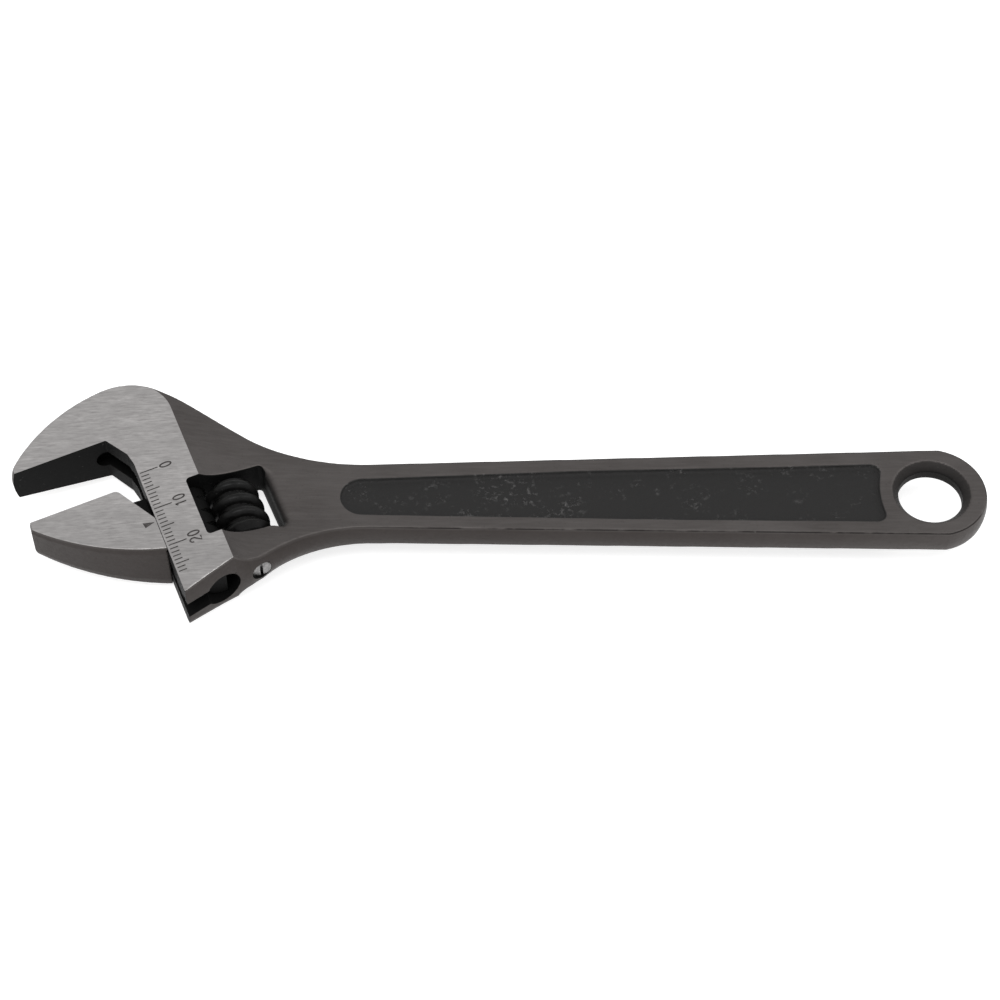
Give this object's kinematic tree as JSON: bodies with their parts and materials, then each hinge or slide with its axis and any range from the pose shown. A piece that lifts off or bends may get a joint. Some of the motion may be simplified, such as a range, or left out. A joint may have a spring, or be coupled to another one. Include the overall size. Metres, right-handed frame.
{
  "type": "adjustable wrench",
  "caption": "Adjustable wrench with an angled head, wedge-shaped jaws, a worm-driven sliding jaw, a recessed flat handle and a hanging hole.",
  "frame": {"origin": "centre of the hanging hole, half way through the handle's thickness", "axes": "+X along the handle from the head to the tail end, +Z through the thickness, along the hanging hole"},
  "size_m": [0.2039, 0.0548, 0.0146],
  "materials": {
    "forged_steel": "matte phosphate grey",
    "ground_steel": "belt-ground satin",
    "black_steel": "blackened, oiled",
    "bright_steel": "bright cut steel"
  },
  "bodies": {
    "frame": {"body": "forged_steel", "worm_pin": "bright_steel", "worm_spring": "bright_steel"},
    "jaw": {"sliding_jaw": "ground_steel"},
    "worm": {"adjusting_worm": "black_steel"}
  },
  "joints": [
    {"name": "jaw_slide", "type": "slide", "parent": "frame", "child": "jaw", "axis": [0.3633, -0.9317, 0], "range_m": [-0.01355, 0.0115]},
    {"name": "worm_spin", "type": "hinge", "parent": "frame", "child": "worm", "pos_m": [-0.14408, -0.0029, 0], "axis": [0.3633, -0.9317, 0], "range_deg": [-1340, 1140]}
  ],
  "couplings": [
    {"joint": "worm_spin", "follows": "jaw_slide", "rad_per_m": 1721.4}
  ]
}
